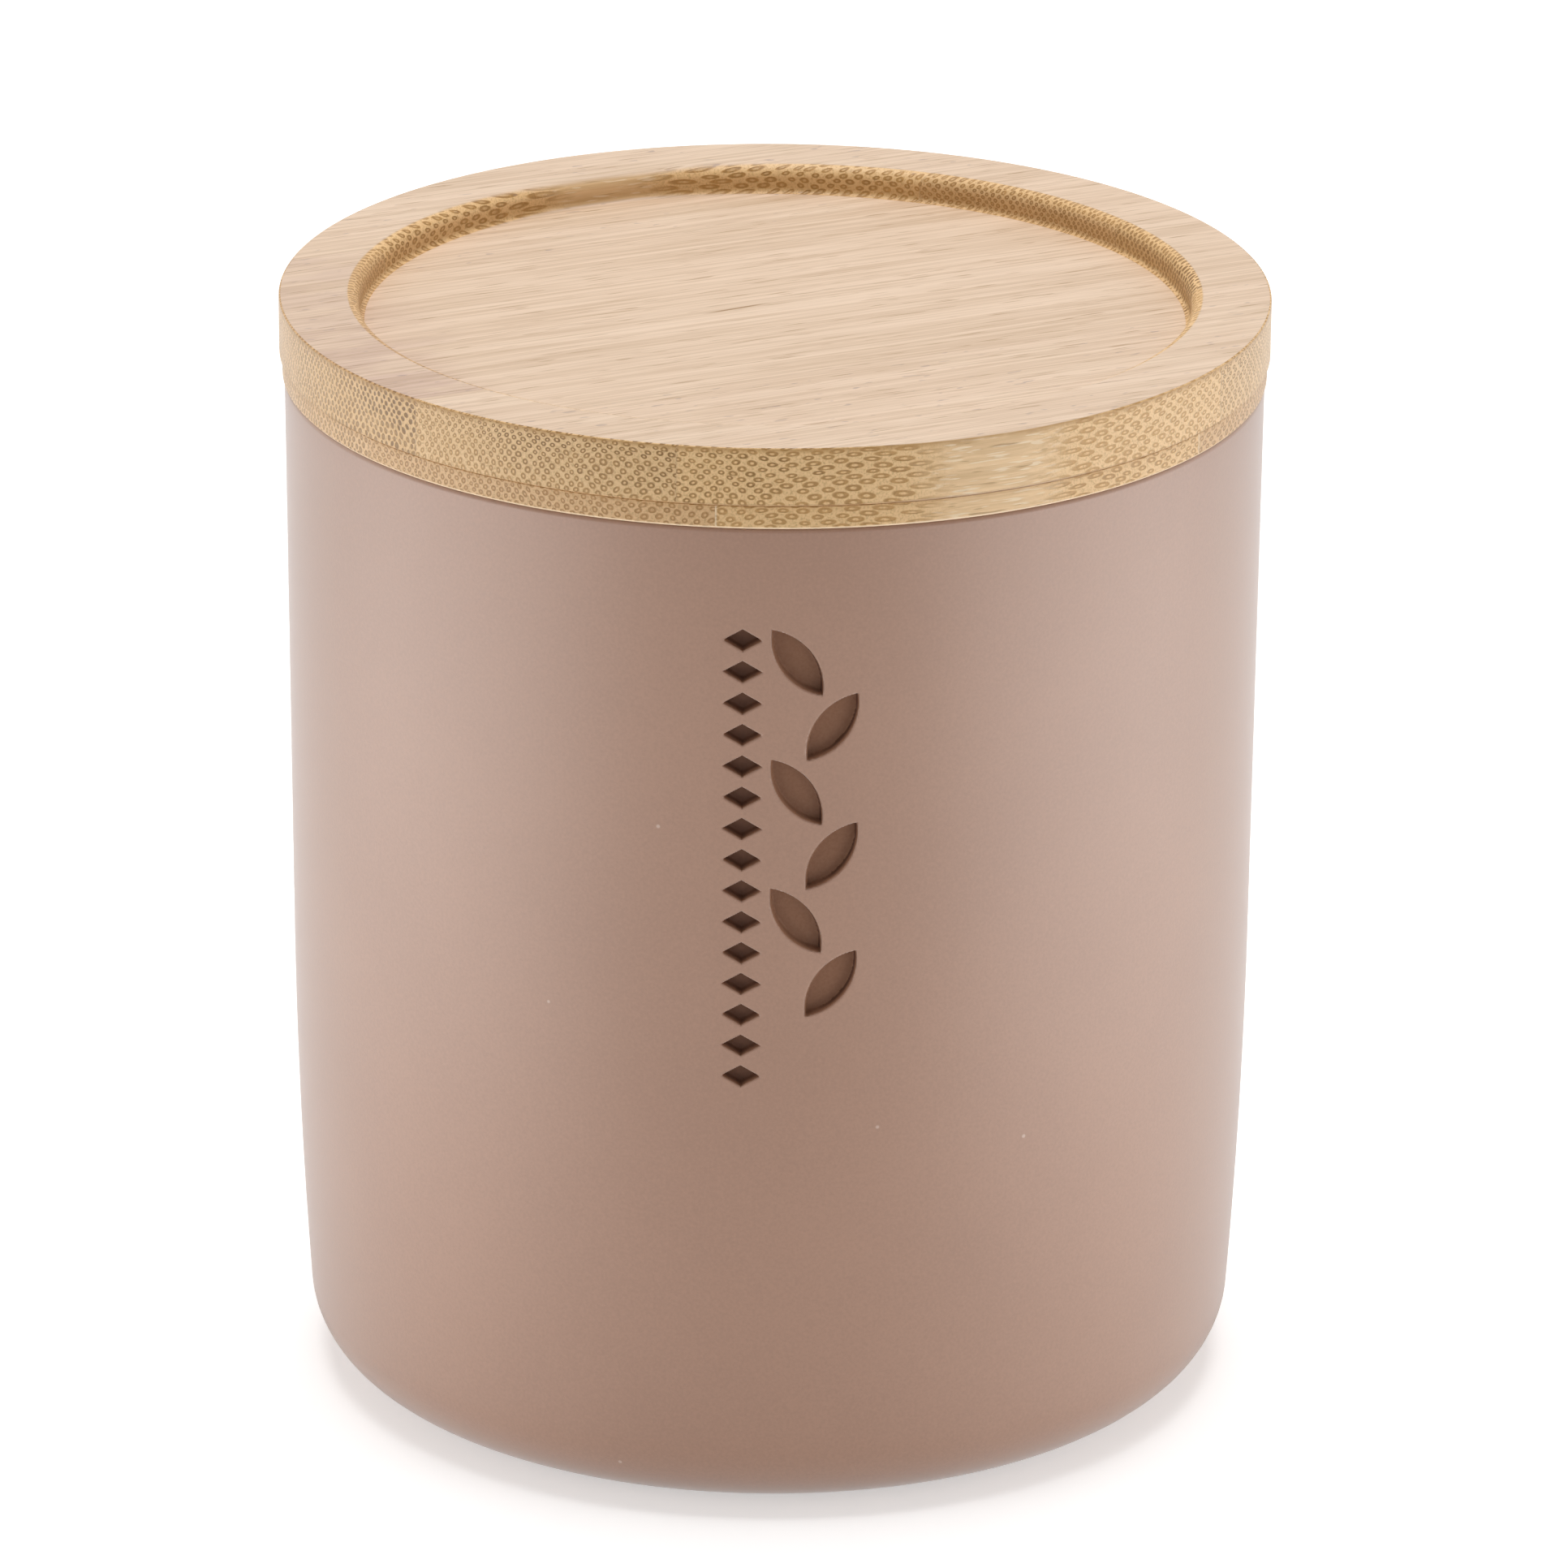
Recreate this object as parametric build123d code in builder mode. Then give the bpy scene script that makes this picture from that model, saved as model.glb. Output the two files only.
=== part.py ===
from build123d import *
from math import asin, cos, degrees, radians, sin, tan
import os

# Cotton pad box: a cast pot with a lift-off bamboo lid.
# Millimetres and degrees. Z is up, the origin is under the middle of the base,
# and the ornament faces the front, which is -Y.

# Pot
pot_height = 103.7
rim_radius = 48.5
wall = 4.5
floor_thickness = 5.0
side_draft = 0.36
belly_height = 45.8
belly_radius = 670.0
foot_rounding = 7.7
cavity_rounding = 6.0
rim_rounding = 0.5

# Pad under the foot
pad_radius = 34.0
pad_thickness = 1.6
pad_proud = 0.4
pad_clearance = 0.2
pad_bevel = 0.3

# Lid: an upper board with a tray cut into it, glued on a lower board with a plug
lid_overhang = 0.5
lid_edge_bevel = 0.2
upper_board = 5.8
tray_wall = 7.9
tray_depth = 2.9
tray_lip_rounding = 1.3
tray_corner_rounding = 0.6
seam_bevel = 0.15
lower_board = 2.4
lower_board_inset = 0.3
lower_bevel = 0.25
plug_depth = 6.0
plug_clearance = 0.8
plug_bevel = 0.8

# Bamboo strips that the two boards are glued up from. The first and last are cut off by the edge,
# and those between are equally wide
grain_angle = 25.5
upper_strips = 5
upper_first_strip = 9.5
upper_last_strip = 20.7
lower_strips = 4
lower_first_strip = 7.4
lower_last_strip = 26.2

# Seal in the plug's groove
seal_height = 2.2
seal_band = 0.9
seal_fins = 2
fin_reach = 0.5
fin_root = 0.8
fin_taper = 65.0
seal_clearance = 0.3
groove_centre_depth = 3.2

# Ornament pressed into the front: a sprig of leaves and beside it a row of lozenges
press_depth = 1.1
ornament_drop = 10.3
sprig_offset = 4.1
leaf_count = 6
leaf_length = 8.0
leaf_width = 3.2
leaf_pitch = 6.6
leaf_tilt = 36.0
leaf_reach = 1.7
lozenge_offset = -2.8
lozenge_count = 15
lozenge_width = 3.4
lozenge_height = 2.0
lozenge_pitch = 3.2

# Sizes that follow from those above
foot_z = pad_proud
rim_z = foot_z + pot_height
mouth_radius = rim_radius - wall
ornament_top = rim_z - ornament_drop
lid_radius = rim_radius + lid_overhang
lower_board_radius = lid_radius - lower_board_inset
tray_radius = lid_radius - tray_wall
plug_radius = mouth_radius - plug_clearance
seam_z = rim_z + lower_board
lid_top_z = seam_z + upper_board
tray_z = lid_top_z - tray_depth
seal_outer_radius = mouth_radius - seal_clearance
seal_inner_radius = seal_outer_radius - fin_reach - seal_band
groove_radius = seal_inner_radius - seal_clearance
groove_height = seal_height + 2 * seal_clearance
groove_z = rim_z - groove_centre_depth
fin_pitch = seal_height / seal_fins


def pot_profile(inset, bottom, corner):
    """Half outline of the pot's side, moved in by inset and closed at a flat bottom with a rounded corner."""
    belly_x = rim_radius - inset - (pot_height - belly_height) * tan(radians(side_draft))
    belly_z = foot_z + belly_height
    arc_radius = belly_radius - inset
    drop = (belly_z - bottom) / arc_radius
    sweep = degrees(asin(sin(radians(side_draft)) + drop)) - side_draft
    with BuildSketch(Plane.XZ) as profile:
        with BuildLine():
            side = Line((rim_radius - inset, rim_z), (belly_x, belly_z))
            belly = JernArc(start=side @ 1, tangent=side % 1, radius=arc_radius, arc_size=-sweep)
            Polyline(belly @ 1, (0, (belly @ 1).Y), (0, rim_z), side @ 0)
        make_face()
        fillet(profile.vertices().group_by(Axis.Y)[0].sort_by(Axis.X)[-1], corner)
    return profile.sketch


def board_strip(board, radius, first_strip, last_strip, index, count):
    """One strip of a glued-up board: what lies between two glue lines that run along the grain."""
    reach = 2 * radius
    width = (2 * radius - first_strip - last_strip) / (count - 2)
    low = first_strip - radius + (index - 1) * width if index > 0 else -reach
    high = first_strip - radius + index * width if index < count - 1 else reach
    along_grain = Plane(origin=(0, 0, 0), x_dir=Vector(1, 0, 0).rotate(Axis.Z, grain_angle), z_dir=(0, 0, 1))
    with BuildPart() as strip:
        add(board)
        with BuildSketch(along_grain):
            with Locations((0, (low + high) / 2)):
                Rectangle(2 * reach, high - low)
        extrude(amount=2 * lid_top_z, mode=Mode.INTERSECT)
    return strip.part


os.makedirs("parts", exist_ok=True)

# Ornament, as the bodies that are pressed out of the wall
with BuildSketch() as leaf:
    with BuildLine():
        leaf_edge = ThreePointArc((0, -leaf_length / 2), (leaf_width / 2, 0), (0, leaf_length / 2))
        mirror(leaf_edge, about=Plane.YZ)
    make_face()

with BuildSketch() as lozenge:
    with BuildLine():
        Polyline(
            (0, -lozenge_height / 2),
            (lozenge_width / 2, 0),
            (0, lozenge_height / 2),
            (-lozenge_width / 2, 0),
            close=True,
        )
    make_face()

with BuildPart() as ornament:
    with BuildSketch(Plane.XZ.offset(rim_radius - 2 * wall)):
        first_leaf_z = ornament_top - leaf_length / 2 * cos(radians(leaf_tilt))
        for n in range(leaf_count):
            side = 1 if n % 2 else -1
            with Locations((sprig_offset + side * leaf_reach, first_leaf_z - n * leaf_pitch)):
                add(leaf.sketch, rotation=-side * leaf_tilt)
        for n in range(lozenge_count):
            with Locations((lozenge_offset, ornament_top - lozenge_height / 2 - n * lozenge_pitch)):
                add(lozenge.sketch)
    extrude(amount=3 * wall)
    revolve(pot_profile(press_depth, foot_z, foot_rounding - press_depth), axis=Axis.Z, mode=Mode.SUBTRACT)

# Pot
with BuildPart() as pot:
    revolve(pot_profile(0, foot_z, foot_rounding), axis=Axis.Z)
    revolve(pot_profile(wall, foot_z + floor_thickness, cavity_rounding), axis=Axis.Z, mode=Mode.SUBTRACT)
    fillet(pot.edges().filter_by(GeomType.CIRCLE).group_by(Axis.Z)[-1], rim_rounding)
    with BuildSketch(Plane.XY.offset(foot_z)):
        Circle(pad_radius + pad_clearance)
    extrude(amount=pad_thickness - pad_proud, mode=Mode.SUBTRACT)
    add(ornament.part, mode=Mode.SUBTRACT)
pot.part.label = "pot"
export_step(pot.part, "parts/pot.step")

# Pad under the foot
with BuildPart() as base_pad:
    with BuildSketch():
        Circle(pad_radius)
    extrude(amount=pad_thickness)
    chamfer(base_pad.faces().sort_by(Axis.Z)[0].edges(), pad_bevel)
base_pad.part.label = "base_pad"
export_step(base_pad.part, "parts/base_pad.step")

# Upper board of the lid, turned as one piece with its tray
with BuildPart() as upper:
    with BuildSketch(Plane.XZ) as upper_profile:
        with BuildLine():
            Polyline(
                (0, seam_z),
                (lid_radius - seam_bevel, seam_z),
                (lid_radius, seam_z + seam_bevel),
                (lid_radius, lid_top_z),
                (tray_radius, lid_top_z),
                (tray_radius, tray_z),
                (0, tray_z),
                close=True,
            )
        make_face()
        for end, rounding in ((-1, tray_lip_rounding), (0, tray_corner_rounding)):
            tray_side = upper_profile.vertices().filter_by_position(Axis.X, tray_radius, tray_radius)
            fillet(tray_side.sort_by(Axis.Y)[end], rounding)
        chamfer(upper_profile.vertices().group_by(Axis.Y)[-1].sort_by(Axis.X)[-1], lid_edge_bevel)
    revolve(axis=Axis.Z)

# Lower board of the lid, with the plug and the seal's groove
with BuildPart() as lower:
    with BuildSketch(Plane.XZ):
        with BuildLine():
            Polyline(
                (0, rim_z - plug_depth),
                (plug_radius - plug_bevel, rim_z - plug_depth),
                (plug_radius, rim_z - plug_depth + plug_bevel),
                (plug_radius, groove_z - groove_height / 2),
                (groove_radius, groove_z - groove_height / 2),
                (groove_radius, groove_z + groove_height / 2),
                (plug_radius, groove_z + groove_height / 2),
                (plug_radius, rim_z),
                (lower_board_radius - lower_bevel, rim_z),
                (lower_board_radius, rim_z + lower_bevel),
                (lower_board_radius, seam_z - seam_bevel),
                (lower_board_radius - seam_bevel, seam_z),
                (0, seam_z),
                close=True,
            )
        make_face()
    revolve(axis=Axis.Z)

# The strips of each board
boards = [
    ("lid_top_strip", upper.part, lid_radius, upper_first_strip, upper_last_strip, upper_strips),
    ("lid_base_strip", lower.part, lower_board_radius, lower_first_strip, lower_last_strip, lower_strips),
]
for name, board, radius, first_strip, last_strip, count in boards:
    for index in range(count):
        strip = board_strip(board, radius, first_strip, last_strip, index, count)
        strip.label = f"{name}_{index + 1}"
        export_step(strip, f"parts/{strip.label}.step")

# Silicone seal: a flat band with tapered fins outside
with BuildPart() as lid_seal:
    with BuildSketch(Plane.XZ):
        with Locations((seal_inner_radius + seal_band / 2, groove_z)):
            Rectangle(seal_band, seal_height)
        with Locations((seal_outer_radius - fin_reach / 2, groove_z)):
            with GridLocations(fin_pitch, fin_pitch, 1, seal_fins):
                Trapezoid(fin_root, fin_reach, fin_taper, rotation=-90)
    revolve(axis=Axis.Z)
lid_seal.part.label = "lid_seal"
export_step(lid_seal.part, "parts/lid_seal.step")
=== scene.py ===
from math import asin, cos, hypot, inf, pi, radians, sin, sqrt, tan
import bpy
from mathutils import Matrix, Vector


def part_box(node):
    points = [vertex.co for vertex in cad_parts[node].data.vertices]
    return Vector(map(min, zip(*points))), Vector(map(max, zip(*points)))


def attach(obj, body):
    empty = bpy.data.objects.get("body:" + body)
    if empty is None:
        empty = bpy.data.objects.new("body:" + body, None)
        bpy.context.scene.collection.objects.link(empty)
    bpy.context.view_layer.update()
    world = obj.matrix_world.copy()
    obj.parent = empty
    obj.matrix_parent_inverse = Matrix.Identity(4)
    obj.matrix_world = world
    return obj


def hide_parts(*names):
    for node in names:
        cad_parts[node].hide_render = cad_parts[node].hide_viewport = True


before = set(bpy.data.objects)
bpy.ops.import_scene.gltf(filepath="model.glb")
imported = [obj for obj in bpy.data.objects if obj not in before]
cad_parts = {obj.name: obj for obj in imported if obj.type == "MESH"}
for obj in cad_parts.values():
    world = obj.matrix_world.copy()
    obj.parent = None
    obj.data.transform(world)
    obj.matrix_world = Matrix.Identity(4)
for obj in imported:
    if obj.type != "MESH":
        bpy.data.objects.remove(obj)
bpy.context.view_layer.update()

from types import SimpleNamespace

import bpy
from bpy.props import FloatProperty, FloatVectorProperty, IntProperty, PointerProperty
from mathutils import Euler, Vector

bl_info = {
    "name": "Cotton pad box",
    "version": (1, 0, 0),
    "blender": (4, 5, 0),
    "location": "3D View > Sidebar > Pad Box",
    "description": "Dresses the cotton pad box: its pot, its bamboo lid, the seal, the pad and the stage",
    "category": "Object",
}

MM = 0.001
POT_LOW, POT_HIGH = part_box("pot")
TOP_STRIPS = sorted(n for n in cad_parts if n.startswith("lid_top_strip_"))
BASE_STRIPS = sorted(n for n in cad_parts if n.startswith("lid_base_strip_"))


def widest(nodes):
    """Half the width of some nodes together."""
    return max(max(abs(c) for c in (*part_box(n)[0].xy, *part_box(n)[1].xy)) for n in nodes)


RIM_RADIUS = POT_HIGH.x
LID_RADIUS = widest(TOP_STRIPS)
BASE_RADIUS = widest(BASE_STRIPS)
LID_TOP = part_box(TOP_STRIPS[0])[1].z
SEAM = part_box(TOP_STRIPS[0])[0].z
PLUG_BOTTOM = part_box(BASE_STRIPS[1])[0].z


# - On the lower board, the band along the lower arris is a painted highlight.
# What differs between the boards and between their strips.
# - "size" scales the fibre bundles and "fill" darkens their middles.
# - "dark" is the strength of their rings at the strip's two sides, and "fade" how far in it holds there.
# - "worn" is how much fainter they are at the strip's far end, and "faint" at the foot of the wall.
# - "closer" is how much closer their rows stand at the top of the wall than at its foot.
# - "smudged" is where along the grain the smudges end, and "smudge" the tint that they give.
# - "tint" and "wall" are what the colours of the sanded face and of the wall are multiplied with.
# - The bands run along the wall's upper and lower arris, and round the tray's floor as painted shade.
# - "glue" is the strength of the line at each side.
# - "streak" is a dark fibre in the sanded face, between two points given along and across the grain.
# Lengths here are in millimetres.
TOP_BOARD = {
    "size": 1.0,
    "fill": 0.0,
    "fade": (0.0, 0.0),
    "worn": 0.0,
    "faint": 0.3,
    "closer": 0.4,
    "streak": None,
    "smudged": 60.0,
    "smudge": (0.975, 0.955, 0.95),
    "tint": (1.0, 1.0, 1.0),
    "wall": (1.0, 1.0, 1.0),
    "top_band": 0.75,
    "low_band_and_highlight": 0.5,
    "low_colour_and_highlight": (0.24, 0.12, 0.04),
    "tray_shade": 0.3,
    "glue": (0.2, 0.2),
    "glue_colour": (0.30, 0.17, 0.08),
}
TOP_LOOKS = [
    {"dark": (1.4, 1.4), "worn": 0.9},
    {
        "dark": (1.55, 0.45),
        "fade": (9.0, 3.0),
        "worn": 0.5,
        "faint": 0.65,
        "wall": (0.93, 0.93, 0.94),
        "low_band_and_highlight": 0.3,
    },
    {
        "dark": (1.6, 0.75),
        "fade": (1.0, 8.0),
        "fill": 0.9,
        "low_band_and_highlight": 0.3,
        "wall": (0.88, 0.86, 0.82),
        "tint": (0.985, 0.97, 0.965),
        "smudge": (0.80, 0.74, 0.76),
        "smudged": -42.0,
        "streak": ((-6.7, 3.67), (2.0, 4.31)),
    },
    {
        "dark": (0.7, 0.6),
        "fill": 0.6,
        "size": 0.9,
        "wall": (0.90, 0.88, 0.88),
        "tint": (0.98, 0.96, 0.95),
        "smudge": (0.86, 0.82, 0.83),
        "smudged": -38.0,
    },
    {"dark": (0.8, 0.8), "fill": 0.5, "size": 1.12},
]
BASE_BOARD = TOP_BOARD | {
    "tint": (0.98, 0.98, 0.98),
    "closer": 0.0,
    "faint": 0.0,
    "top_band": 0.35,
    # Here the low band is a pale painted highlight along the lower arris
    "low_band_and_highlight": 0.85,
    "low_colour_and_highlight": (0.98, 0.80, 0.56),
    "tray_shade": 0.0,
    "glue": (0.0, 0.1),
    "glue_colour": (0.80, 0.64, 0.44),
}
BASE_LOOKS = [
    {"dark": (0.35, 0.35), "glue": (0.0, 0.7), "wall": (0.98, 0.97, 0.95)},
    {"dark": (0.45, 0.35), "fill": 0.3, "wall": (0.86, 0.82, 0.82)},
    {"dark": (0.8, 0.4), "fill": 0.7, "wall": (0.90, 0.88, 0.90)},
    {"dark": (0.4, 0.4), "wall": (0.92, 0.90, 0.93)},
]


def length(name, description, millimetres):
    """A setting that is a length, with its default in millimetres."""
    value = millimetres * MM
    return FloatProperty(
        name=name, description=description, default=value, unit="LENGTH", subtype="DISTANCE", precision=5
    )


def angle(name, description, degrees):
    """A setting that is an angle, with its default in degrees."""
    value = radians(degrees)
    return FloatProperty(name=name, description=description, default=value, unit="ROTATION", subtype="ANGLE")


def whole(name, description, value):
    """A setting that is a whole number."""
    return IntProperty(name=name, description=description, default=value, min=1)


def share(name, description, value):
    """A setting that is a plain factor."""
    return FloatProperty(name=name, description=description, default=value, min=0.0)


def colour(name, description, value):
    """A setting that is a linear colour."""
    return FloatVectorProperty(
        name=name, description=description, default=value, size=3, min=0, max=1, subtype="COLOR"
    )


class PotSettings(bpy.types.PropertyGroup):
    """Sizes and finish of the pot."""

    steps: whole("Steps round", "Faces round the pot", 192)
    wall: length("Wall", "Thickness of the side", 4.5)
    floor_thickness: length("Floor", "Thickness of the floor above the foot", 5.0)
    side_draft: angle("Draft", "How much the side leans in towards the foot", 0.36)
    belly_height: length("Belly height", "From the foot up to where the side becomes straight", 45.8)
    belly_radius: length("Belly radius", "Radius of the belly's profile", 670)
    foot_rounding: length("Foot rounding", "Rounding between side and foot", 7.7)
    cavity_rounding: length("Cavity rounding", "Rounding between cavity and floor", 6.0)
    rim_rounding: length("Rim rounding", "Rounding of both edges of the rim", 0.5)
    recess_radius: length("Recess radius", "Radius of the pad's recess under the foot", 34.2)
    recess_depth: length("Recess depth", "Depth of the pad's recess", 1.2)
    press_depth: length("Press depth", "How deep the ornament is pressed in", 1.1)
    press_flank: length("Press flank", "Width of the ornament's sloping edge", 0.32)
    press_margin: length("Press margin", "How far the refined front reaches above the ornament", 1.2)
    press_rows: whole("Press rows", "Rows of faces over the refined front", 30)
    press_cuts: whole("Press cuts", "Cuts that refine each of those faces", 12)
    sharp_angle: angle("Sharp angle", "Edges bent by more than this stay sharp", 50)
    body: colour("Body", "Colour of the cast body", (0.353, 0.181, 0.107))
    body_dark: colour("Body, darker", "Colour of the body's darker grain", (0.295, 0.145, 0.082))
    speck: colour("Speck", "Colour of the pale specks in the body", (0.58, 0.44, 0.36))
    # The recess colour and the three shares below paint shade into the ornament's floors and left-facing
    # walls
    recess: colour("Recess", "Colour of the pressed ornament's floor", (0.075, 0.026, 0.014))
    lozenge_shade: share("Dark lozenges", "How much of the recess colour the lozenges take", 0.7)
    leaf_shade: share("Dark leaves", "How much of the recess colour the leaves take", 0.24)
    flank_shade: share("Dark flanks", "How much of the recess colour the walls that face left take", 0.85)
    roughness: share("Roughness", "How matte the body is", 0.5)
    sheen: share("Sheen", "Strength of the body's haze at a low angle", 0.7)


class OrnamentSettings(bpy.types.PropertyGroup):
    """Sizes of the sprig and the row of lozenges that are pressed into the pot."""

    drop: length("Drop", "From the rim down to the top of the ornament", 10.3)
    sprig_offset: length("Sprig offset", "Middle of the sprig, to the right of the front", 4.1)
    leaf_count: whole("Leaves", "Leaves of the sprig", 6)
    leaf_length: length("Leaf length", "Length of a leaf", 8.0)
    leaf_width: length("Leaf width", "Width of a leaf", 3.2)
    leaf_pitch: length("Leaf pitch", "Height from one leaf to the next", 6.6)
    leaf_tilt: angle("Leaf tilt", "How far a leaf leans out", 36)
    leaf_reach: length("Leaf reach", "From the sprig's middle to a leaf's middle", 1.7)
    lozenge_offset: length("Lozenge offset", "Middle of the lozenges, to the right of the front", -2.8)
    lozenge_count: whole("Lozenges", "Lozenges in the row", 15)
    lozenge_width: length("Lozenge width", "Width of a lozenge", 3.4)
    lozenge_height: length("Lozenge height", "Height of a lozenge", 2.0)
    lozenge_pitch: length("Lozenge pitch", "Height from one lozenge to the next", 3.2)


class LidSettings(bpy.types.PropertyGroup):
    """Sizes of the bamboo lid."""

    steps: whole("Steps round", "Faces round the lid", 240)
    edge_rounding: length("Edge", "Softening of the outer top edge", 0.2)
    tray_wall: length("Tray wall", "From the lid's edge to the tray", 7.9)
    tray_depth: length("Tray depth", "Depth of the tray", 2.9)
    tray_lip: length("Tray lip", "Rounding of the tray's upper edge", 1.3)
    tray_corner: length("Tray corner", "Rounding at the tray's floor", 0.6)
    seam_bevel: length("Seam bevel", "Bevel of both boards along the seam", 0.15)
    lower_bevel: length("Lower bevel", "Bevel under the lower board", 0.25)
    plug_bevel: length("Plug bevel", "Bevel under the plug", 0.8)
    plug_gap: length("Plug gap", "From the pot's mouth to the plug", 0.8)
    groove_gap: length("Groove gap", "From the seal to the groove round it", 0.3)
    groove_depth: length("Groove depth", "Depth of the seal's groove in the plug", 1.2)
    sharp_angle: angle("Sharp angle", "Edges bent by more than this stay sharp", 40)
    grain_angle: angle("Grain angle", "Direction of the bamboo's fibres", 25.5)
    top_first: length("First top strip", "Width of the upper board's first strip", 9.5)
    top_last: length("Last top strip", "Width of the upper board's last strip", 20.7)
    base_first: length("First base strip", "Width of the lower board's first strip", 7.4)
    base_last: length("Last base strip", "Width of the lower board's last strip", 26.2)


class BambooSettings(bpy.types.PropertyGroup):
    """Look of the bamboo."""

    pale: colour("Pale", "Colour of the pale tissue between the fibres", (0.76, 0.585, 0.435))
    mid: colour("Mid", "Colour of the fibres seen from the side", (0.585, 0.42, 0.28))
    pale_wall: colour("Pale, upright", "Colour of the pale tissue on upright faces", (0.86, 0.60, 0.335))
    mid_wall: colour("Mid, upright", "Colour of the fibres on upright faces", (0.66, 0.43, 0.21))
    # The threads are painted highlights along glossy fibres
    thread_highlight: colour("Thread", "Colour of the pale threads on upright faces", (0.90, 0.72, 0.50))
    brown: colour("Brown", "Colour of the bundles' cut rings", (0.25, 0.12, 0.018))
    pore: colour("Pore", "Colour of the small pores in the smudged faces", (0.27, 0.19, 0.18))
    ground: colour("Ground", "Colour of the end grain between the bundles", (0.57, 0.32, 0.105))
    net: colour("Net", "Colour of the net between the bundles", (0.83, 0.56, 0.28))
    # The edge colour is also the painted shade at the foot of the tray's wall
    edge: colour("Edge", "Colour of the browner band under the upper arris", (0.42, 0.215, 0.05))
    pitch: length("Bundle pitch", "Distance between bundles along a row", 0.78)
    row: length("Row pitch", "Distance between rows of bundles", 0.57)
    bundle_width: length("Bundle width", "Width of a bundle across the rows", 0.40)
    bundle_height: length("Bundle height", "Height of a bundle", 0.50)
    looseness: share("Looseness", "How far the bundles stand off their even rows", 0.22)
    roughness: share("Roughness", "How matte the sanded bamboo is", 0.5)
    sheen: share("Sheen", "Strength of the outer wall's haze at a low angle", 0.45)


class SoftSettings(bpy.types.PropertyGroup):
    """Look of the seal and of the pad under the foot."""

    silicone: colour("Silicone", "Colour of the seal", (0.74, 0.73, 0.70))
    haze: colour("Haze", "Colour of the dust on the seal", (0.83, 0.83, 0.81))
    foam: colour("Foam", "Colour of the pad", (0.045, 0.042, 0.042))
    foam_pore: colour("Foam pore", "Colour of the pad's pores", (0.012, 0.011, 0.011))
    dust: colour("Dust", "Colour of the dust on the pad", (0.06, 0.056, 0.055))


class StageSettings(bpy.types.PropertyGroup):
    """Camera, lamps and floor."""

    distance: length("Camera distance", "From the camera to the point it looks at", 1000)
    elevation: angle("Elevation", "Height of the camera above the horizon", 20.708)
    roll: angle("Roll", "Tilt of the camera about its view", 0.393)
    target_x: length("Target X", "Point that the camera looks at, to the right", 1.2)
    target_z: length("Target Z", "Point that the camera looks at, upwards", 60.03)
    lens: FloatProperty(name="Lens", description="Focal length in mm on a 36 mm sensor", default=228.2)
    side_power: share("Side power", "Power of the left and right lamps in watts", 1.0)
    strip_power: share("Strip power", "Power of the low strip lamps close to both sides in watts", 0.21)
    top_power: share("Top power", "Power of the lamp overhead in watts", 9.6)
    sky: share("Sky", "Strength of the even light from all round", 0.24)
    floor_size: length("Floor size", "Width of the floor", 8000)
    floor_gap: length("Floor gap", "From the pad down to the floor, so that their faces stay apart", 0.02)
    floor: colour("Floor", "Colour of the floor", (0.84, 0.84, 0.84))
    floor_pale: colour("Floor, paler", "Colour of the floor's paler clouds", (0.86, 0.86, 0.86))
    near_glow: share("Near glow", "What the floor near the box adds where it shows as background", 0.45)
    far_glow: share("Far glow", "What the floor further out adds there", 0.85)


# The camera's sensor in millimetres, and how near and how far it sees in metres
SENSOR_WIDTH = 36.0
CAMERA_REACH = (0.01, 20.0)

# The lamps: place, width and height in metres, and the setting that holds the power
LAMPS = {
    "lamp_left": ((-0.85, 0.0, 0.17), (1.1, 0.32), "side_power"),
    "strip_left": ((-0.22, -0.08, 0.02), (0.3, 0.04), "strip_power"),
    "lamp_right": ((0.85, 0.0, 0.17), (1.1, 0.32), "side_power"),
    "strip_right": ((0.22, -0.08, 0.02), (0.3, 0.04), "strip_power"),
    "lamp_top": ((0.0, 0.1, 1.1), (0.72, 0.72), "top_power"),
}
LAMP_AIM = (0.0, 0.0, 0.06)

# Faces along each kind of rounding
EDGE_STEPS = 3
RIM_STEPS = 5
LIP_STEPS = 10
FOOT_STEPS = 14
BELLY_STEPS = 20


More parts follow.
